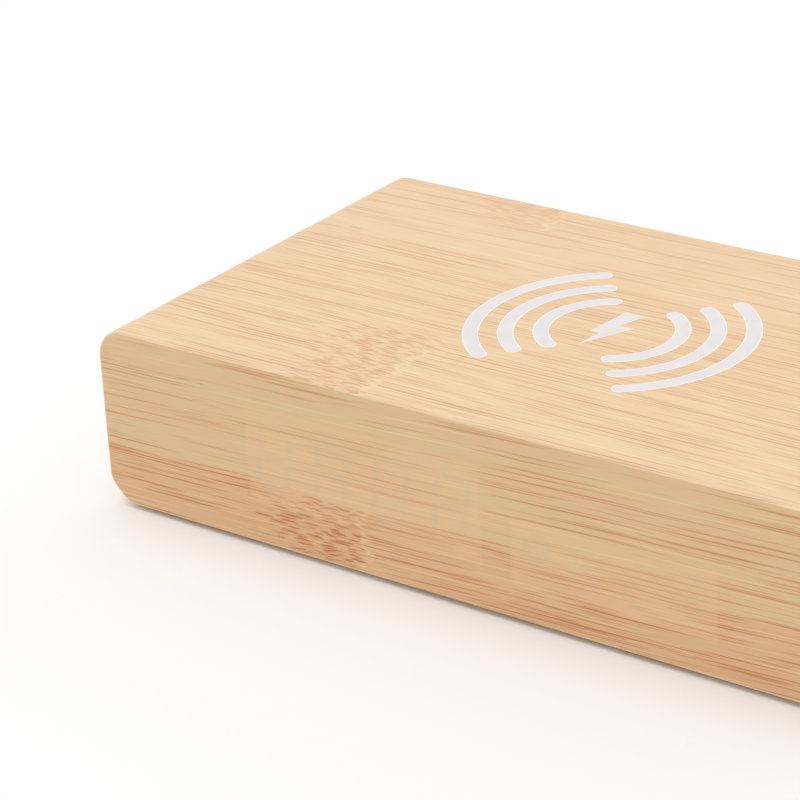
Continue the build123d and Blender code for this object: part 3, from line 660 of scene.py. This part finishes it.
def rectangle(low, high, grow):
    return [
        (low.x - grow, low.z - grow),
        (high.x + grow, low.z - grow),
        (high.x + grow, high.z + grow),
        (low.x - grow, high.z + grow),
    ]


# pitch, width, height and stroke of the digits, in millimetres
TIME_DIGITS = (12.7, 7.8, 13.4, 1.5)
INFO_DIGITS = (10.16, 5.6, 9.2, 1.1)
module_blur = 0.4 * MM  # how far the module's edge fades to each side
bar_blur = 0.35 * MM
bar_trim = 1.0 * MM  # what the gaps between a digit's bars take off each


def display_ghosts():
    """The unlit modules, as they show very faintly through the front film."""
    loops = []
    for low, high, digits in ((time_low, time_high, TIME_DIGITS), (info_low, info_high, INFO_DIGITS)):
        loops.append((rectangle(low, high, module_blur), (0.0, 0.0)))
        loops.append((rectangle(low, high, -module_blur), (1.0, 0.0)))
        centre = ((low.x + high.x) / 2, (low.z + high.z) / 2)
        pitch, width, height, stroke = [size * MM for size in digits]
        for place, turn, length in digit_bars(centre, pitch, width, height, stroke):
            loops.append((bar_outline(place, turn, length - bar_trim, stroke, bar_blur), (1.0, 0.0)))
            loops.append((bar_outline(place, turn, length - bar_trim, stroke, -bar_blur), (1.0, 1.0)))
    return loops


def arc_outline(radius, half_angle, stroke, side, steps=40, cap_steps=12):
    """Outline of one arc of the mark, with round ends, about the middle of the top."""
    points = []
    for step in range(steps + 1):
        angle = -half_angle + 2 * half_angle * step / steps
        points.append(((radius + stroke / 2) * cos(angle), (radius + stroke / 2) * sin(angle)))
    end = (radius * cos(half_angle), radius * sin(half_angle))
    for step in range(1, cap_steps):
        angle = half_angle + pi * step / cap_steps
        points.append((end[0] + stroke / 2 * cos(angle), end[1] + stroke / 2 * sin(angle)))
    for step in range(steps + 1):
        angle = half_angle - 2 * half_angle * step / steps
        points.append(((radius - stroke / 2) * cos(angle), (radius - stroke / 2) * sin(angle)))
    end = (radius * cos(half_angle), -radius * sin(half_angle))
    for step in range(1, cap_steps):
        angle = pi - half_angle + pi * step / cap_steps
        points.append((end[0] + stroke / 2 * cos(angle), end[1] + stroke / 2 * sin(angle)))
    return [(side * x, side * y) for x, y in points]


def polygon_outline(corners, grow):
    """A polygon given counter-clockwise, with each side moved outwards by grow."""
    result = []
    count = len(corners)
    for index, corner in enumerate(corners):
        before = Vector(corners[index - 1])
        here = Vector(corner)
        after = Vector(corners[(index + 1) % count])
        first = (here - before).normalized()
        second = (after - here).normalized()
        normal_a = Vector((first.y, -first.x))
        normal_b = Vector((second.y, -second.x))
        mitre = (normal_a + normal_b).normalized()
        result.append(tuple(here + mitre * grow / max(mitre.dot(normal_a), 0.35)))
    return result


def ink_piece(points, faces, inward, rings):
    """Adds one closed patch of ink: rings are (outline, height, inwardness) from its foot to its field."""
    count = len(rings[0][0])
    start = len(points)
    for outline, height, _ in rings:
        points += [(x, y, height) for x, y in outline]
    for level, (_, _, value) in enumerate(rings[:-1]):
        following = rings[level + 1][2]
        for index in range(count):
            ahead = (index + 1) % count
            low, high = start + level * count, start + (level + 1) * count
            faces.append((low + index, low + ahead, high + ahead, high + index))
            inward.append([(value, 0, 0), (value, 0, 0), (following, 0, 0), (following, 0, 0)])
    last = start + (len(rings) - 1) * count
    flat = [Vector(point) for point in rings[-1][0]]
    _, _, caps, origins, _, _ = delaunay_2d_cdt(flat, [], [list(range(count))], 1, 1e-9)
    for cap in caps:
        faces.append(tuple(last + origins[i][0] for i in cap))
        inward.append([(rings[-1][2], 0, 0)] * 3)
        faces.append(tuple(start + origins[i][0] for i in reversed(cap)))
        inward.append([(0, 0, 0)] * 3)


ARCS = [(25.3, 54.9), (19.0, 56.5), (12.7, 60.0)]  # radius in mm, and degrees to each side
arc_stroke = 3.0 * MM
ink_height = 0.03 * MM
ink_shoulder = 0.06 * MM
arc_rim = 0.32 * MM
bolt_rim = 0.2 * MM
BOLT_MM = [
    (-3.15, -2.3),
    (-1.15, -2.15),
    (-1.85, -8.4),
    (3.2, 2.35),
    (0.05, 1.85),
    (2.25, 7.8),
    (-1.95, 7.8),
]


def charging_ink():
    """The mark, printed a hair above the film, with a rolled rim."""
    heights = (mark_low.z, case_top, case_top + ink_height, case_top + ink_height)
    # inwardness 0 at the ink's foot and outer edge, where the white ink paints its thin shadow line
    inwardness = (0.0, 0.0, 0.3, 1.0)
    points, faces, inward = [], [], []
    for side in (-1, 1):
        for radius_mm, half_angle in ARCS:
            shapes = [
                arc_outline(radius_mm * MM, radians(half_angle), arc_stroke - 2 * step, side)
                for step in (0.0, 0.0, ink_shoulder, arc_rim)
            ]
            ink_piece(points, faces, inward, list(zip(shapes, heights, inwardness)))
    bolt = [(x * MM, y * MM) for x, y in BOLT_MM]
    shapes = [polygon_outline(bolt, -step) for step in (0.0, 0.0, ink_shoulder, bolt_rim)]
    ink_piece(points, faces, inward, list(zip(shapes, heights, inwardness)))
    return make_piece("charging_ink", points, faces, printed_white(), {"inward": inward}, smooth=False)


# ------------------------------------------------------------------ pieces on the case
wrap = wrap_skin()
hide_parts("wrap_foil")
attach(wrap, "case")

front = face_skin("wood_front", front_low.y, front_high.y, [], display_ghosts(), front_wood)
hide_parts("front_foil")
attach(front, "case")

panel_gap = 0.2 * MM
panel_radius = 3.0 * MM
hole = rounded_outline(
    (panel_high.x - panel_low.x) / 2 + panel_gap,
    (panel_high.z - panel_low.z) / 2 + panel_gap,
    panel_radius + panel_gap,
)
panel_middle = (panel_high.z + panel_low.z) / 2
hole = [(x, panel_middle + z) for x, z in reversed(hole)]
back = face_skin("wood_back", back_high.y, back_low.y, [hole], [], back_wood)
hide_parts("back_foil")
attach(back, "case")

ink = charging_ink()
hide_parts("charging_mark")
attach(ink, "case")

slot_of = {entry["node"]: entry["material_slot"] for entry in frame["record"]["subparts"]}
for name, node in frame["nodes"].items():
    if slot_of[name] in SLOT_MATERIALS:
        node.data.materials.clear()
        node.data.materials.append(SLOT_MATERIALS[slot_of[name]])
for name in ("set_button", "up_button", "down_button"):
    low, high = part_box(name)
    face_middle = ((low.x + high.x) / 2 / MM, high.y / MM, (low.z + high.z) / 2 / MM)
    frame["nodes"][name].data.materials[0] = moulded_black(name, (26, 26, 28), 0.40, 0.03, face_middle)


# ------------------------------------------------------------------ stage
def floor_material():
    graph = Graph("floor")
    x, y, _ = graph.place_mm()
    cloud = graph.noise(x / 300.0, y / 300.0, 0.0)
    colour = graph.blend(cloud, linear(252, 252, 252), linear(249, 249, 250))
    return graph.finish(colour, 0.9, Specular_IOR_Level=0.1)


def make_floor():
    reach = 6.0
    corners = [(-reach, -reach, 0), (reach, -reach, 0), (reach, reach, 0), (-reach, reach, 0)]
    floor = make_piece("floor", corners, [(0, 1, 2, 3)], floor_material(), smooth=False)


def area_light(name, place, target, size, power):
    data = bpy.data.lights.new(name, "AREA")
    data.shape = "RECTANGLE"
    data.size, data.size_y = size
    data.energy = power
    light = bpy.data.objects.new(name, data)
    light.location = place
    light.rotation_euler = (Vector(target) - Vector(place)).to_track_quat("-Z", "Y").to_euler()
    collection.objects.link(light)


def make_lights():
    world = bpy.data.worlds.new("studio")
    world.use_nodes = True
    world.node_tree.nodes["Background"].inputs["Color"].default_value = (1, 1, 1, 1)
    world.node_tree.nodes["Background"].inputs["Strength"].default_value = 0.76
    bpy.context.scene.world = world
    bpy.context.scene.view_settings.view_transform = "Standard"
    target = (0, 0, case_middle)
    area_light("key", (-0.35, -0.25, 1.6), target, (1.4, 1.4), 9.6)
    area_light("back", (0.2, 1.5, 0.7), target, (1.0, 0.8), 2.0)


def make_camera():
    """The viewpoint: above the front, from the right, with a slight tilt of the horizon."""
    aim = Vector((-0.01539, -0.04324, 0.036))
    distance = 0.52712
    azimuth, elevation, roll = radians(37.065), radians(24.718), radians(-2.980)
    forward = Vector((-sin(azimuth) * cos(elevation), cos(azimuth) * cos(elevation), -sin(elevation)))
    level_right = forward.cross(Vector((0, 0, 1))).normalized()
    level_up = level_right.cross(forward)
    right = level_right * cos(roll) + level_up * sin(roll)
    up = right.cross(forward)
    data = bpy.data.cameras.new("camera")
    data.sensor_width = 36.0
    data.lens = 138.91
    data.clip_start = 0.01
    camera = bpy.data.objects.new("camera", data)
    turn = Matrix((right, up, -forward)).transposed().to_4x4()
    camera.matrix_world = Matrix.Translation(aim - forward * distance) @ turn
    collection.objects.link(camera)
    bpy.context.scene.camera = camera


make_floor()
make_lights()
make_camera()
